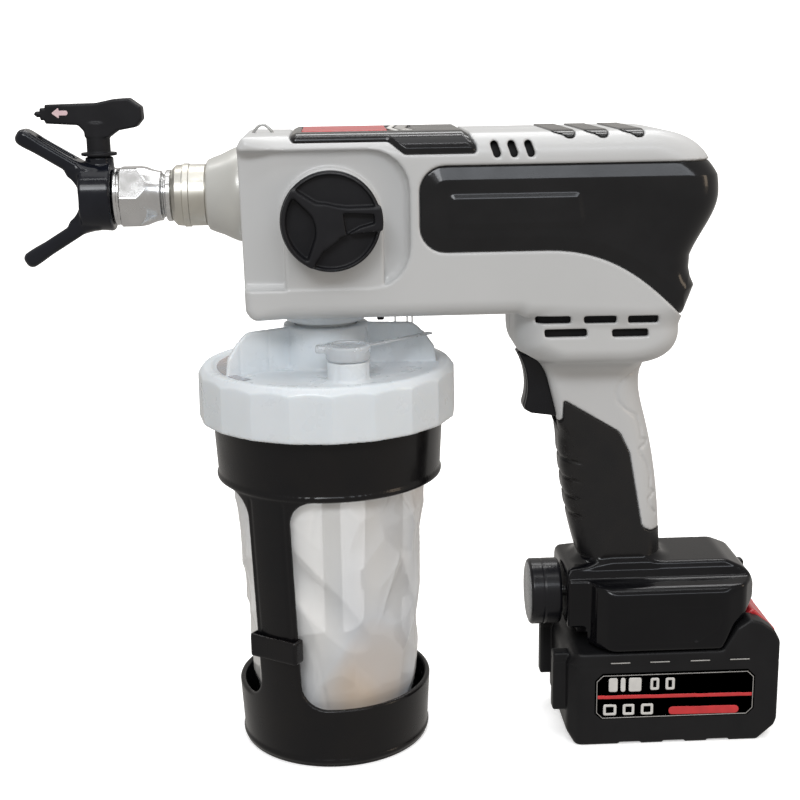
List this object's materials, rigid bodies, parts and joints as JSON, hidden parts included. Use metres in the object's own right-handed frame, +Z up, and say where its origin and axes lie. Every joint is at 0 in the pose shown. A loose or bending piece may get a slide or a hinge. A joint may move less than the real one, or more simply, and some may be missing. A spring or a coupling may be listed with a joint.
{
  "type": "cordless airless paint sprayer",
  "caption": "Pistol-grip cordless airless paint sprayer with a reversible spray tip, a clear-lined cup in an open cage, a prime knob and a slide-on battery pack.",
  "frame": {"origin": "on the floor at the centre of the cup holder's base", "axes": "+Z up, -X along the spray direction, +X towards the battery pack, -Y the side with the prime knob"},
  "size_m": [0.3893, 0.1352, 0.3446],
  "materials": {
    "shell": "light warm grey moulded ABS, fine satin texture",
    "gloss_black": "high gloss black ABS",
    "red_label": "gloss red plate with no marks",
    "grip_rubber": "black soft overmould, satin",
    "cast_body": "silver-grey paint on a cast nose",
    "pump_metal": "machined casting",
    "plated_metal": "polished nickel plate with turned marks",
    "bright_steel": "ground steel",
    "guard_black": "gloss black moulding",
    "satin_black": "fine textured black moulding",
    "trigger_black": "satin black",
    "carbide": "sintered carbide",
    "seal": "orange seal rubber",
    "white_plastic": "white translucent polypropylene",
    "clear_tube": "milky polyethylene",
    "strainer": "grey mesh strainer",
    "clear_film": "clear crumpled film",
    "holder_black": "semi-gloss black moulding",
    "motor_steel": "plated steel",
    "fan_black": "black nylon",
    "gear_brass": "cut gears",
    "circuit": "green board with parts",
    "pack_black": "satin black ABS",
    "cell_wrap": "shrink wrapped cells",
    "pack_label": "black plate with a plain silver line and a red band",
    "latch_red": "gloss red"
  },
  "bodies": {
    "gun": {"housing_left": "shell", "housing_right": "shell", "housing_screws": "bright_steel", "side_cover_left": "gloss_black", "side_cover_right": "gloss_black", "top_trim": "gloss_black", "top_label": "red_label", "top_inserts": "gloss_black", "grip_overmould": "grip_rubber", "hanging_eye": "plated_metal", "nose_cone": "cast_body", "outlet_coupling": "plated_metal", "outlet_nipple": "plated_metal", "pump_block": "pump_metal", "inlet_collar": "white_plastic", "inlet_ball": "bright_steel", "outlet_ball": "bright_steel", "suction_tube": "clear_tube", "inlet_strainer": "strainer", "return_tube": "clear_tube", "motor_can": "motor_steel", "ring_gear": "motor_steel", "gearbox_plate": "motor_steel", "trigger_switch": "fan_black", "control_board": "circuit", "battery_mount": "gloss_black", "terminal_block": "fan_black"},
    "nut": {"guard_nut": "plated_metal"},
    "guard": {"tip_guard": "guard_black", "tip_seal": "seal"},
    "tip": {"tip_key": "satin_black", "tip_orifice": "carbide"},
    "knob": {"prime_knob": "satin_black", "prime_valve_stem": "bright_steel"},
    "trigger": {"trigger": "trigger_black", "trigger_spring": "bright_steel"},
    "plunger": {"plunger": "bright_steel", "plunger_spring": "bright_steel"},
    "cap": {"cup_cap": "white_plastic", "cap_gasket": "seal", "plug_strap": "white_plastic"},
    "vent": {"vent_plug": "white_plastic"},
    "cup": {"cup_holder_ring": "holder_black", "cup_holder_base": "holder_black", "liner_bag": "clear_film"},
    "battery": {"battery_case": "pack_black", "battery_cells": "cell_wrap", "battery_label": "pack_label"},
    "latch": {"battery_latch": "latch_red"},
    "dial": {"speed_dial": "satin_black", "dial_shaft": "bright_steel"},
    "rotor": {"motor_rotor": "motor_steel", "cooling_fan": "fan_black", "sun_gear": "gear_brass"},
    "carrier": {"planet_carrier": "bright_steel", "cam_bearing": "motor_steel"},
    "planet_1": {"planet_gear_1": "gear_brass"},
    "planet_2": {"planet_gear_2": "gear_brass"},
    "planet_3": {"planet_gear_3": "gear_brass"}
  },
  "joints": [
    {"name": "nut_turn", "type": "hinge", "parent": "gun", "child": "nut", "pos_m": [-0.09, 0, 0.296], "axis": [1, 0, 0], "range_deg": [0, 180]},
    {"name": "guard_swivel", "type": "hinge", "parent": "gun", "child": "guard", "pos_m": [-0.112, 0, 0.296], "axis": [1, 0, 0], "range_deg": [-90, 90]},
    {"name": "tip_turn", "type": "hinge", "parent": "guard", "child": "tip", "pos_m": [-0.1115, 0, 0.31], "axis": [0, 0, 1], "range_deg": [0, 180]},
    {"name": "knob_turn", "type": "hinge", "parent": "gun", "child": "knob", "pos_m": [0.0042, -0.04, 0.287], "axis": [0, 1, 0], "range_deg": [0, 90]},
    {"name": "trigger_pull", "type": "slide", "parent": "gun", "child": "trigger", "axis": [1, 0, 0], "range_m": [0, 0.006], "stiffness_N_per_m": 600, "deforming": ["trigger_spring"]},
    {"name": "plunger_stroke", "type": "slide", "parent": "gun", "child": "plunger", "axis": [0, 0, 1], "range_m": [0, 0.0055], "deforming": ["plunger_spring"]},
    {"name": "cap_twist", "type": "hinge", "parent": "gun", "child": "cap", "pos_m": [0, 0, 0.2], "axis": [0, 0, 1], "range_deg": [0, 90]},
    {"name": "vent_plug_pull", "type": "slide", "parent": "cap", "child": "vent", "axis": [0, 0, 1], "range_m": [0, 0.0105], "deforming": ["plug_strap"]},
    {"name": "cup_drop", "type": "slide", "parent": "cap", "child": "cup", "axis": [0, 0, -1], "range_m": [0, 0.06]},
    {"name": "battery_slide", "type": "slide", "parent": "gun", "child": "battery", "axis": [1, 0, 0], "range_m": [0, 0.12]},
    {"name": "latch_press", "type": "slide", "parent": "battery", "child": "latch", "axis": [0, 0, -1], "range_m": [0, 0.0025], "stiffness_N_per_m": 900},
    {"name": "dial_turn", "type": "hinge", "parent": "gun", "child": "dial", "pos_m": [0.115, 0, 0.0755], "axis": [1, 0, 0], "range_deg": [0, 270]},
    {"name": "motor_spin", "type": "hinge", "parent": "gun", "child": "rotor", "pos_m": [0.13, 0, 0.284], "axis": [1, 0, 0], "continuous": true},
    {"name": "carrier_spin", "type": "hinge", "parent": "gun", "child": "carrier", "pos_m": [0.08, 0, 0.284], "axis": [1, 0, 0], "continuous": true},
    {"name": "planet_1_spin", "type": "hinge", "parent": "carrier", "child": "planet_1", "pos_m": [0.092, 0.012, 0.284], "axis": [1, 0, 0], "continuous": true},
    {"name": "planet_2_spin", "type": "hinge", "parent": "carrier", "child": "planet_2", "pos_m": [0.092, -0.006, 0.29439], "axis": [1, 0, 0], "continuous": true},
    {"name": "planet_3_spin", "type": "hinge", "parent": "carrier", "child": "planet_3", "pos_m": [0.092, -0.006, 0.27361], "axis": [1, 0, 0], "continuous": true}
  ],
  "couplings": [
    {"joint": "carrier_spin", "follows": "motor_spin", "ratio": 0.2},
    {"joint": "planet_1_spin", "follows": "motor_spin", "ratio": -0.53333},
    {"joint": "planet_2_spin", "follows": "motor_spin", "ratio": -0.53333},
    {"joint": "planet_3_spin", "follows": "motor_spin", "ratio": -0.53333}
  ]
}
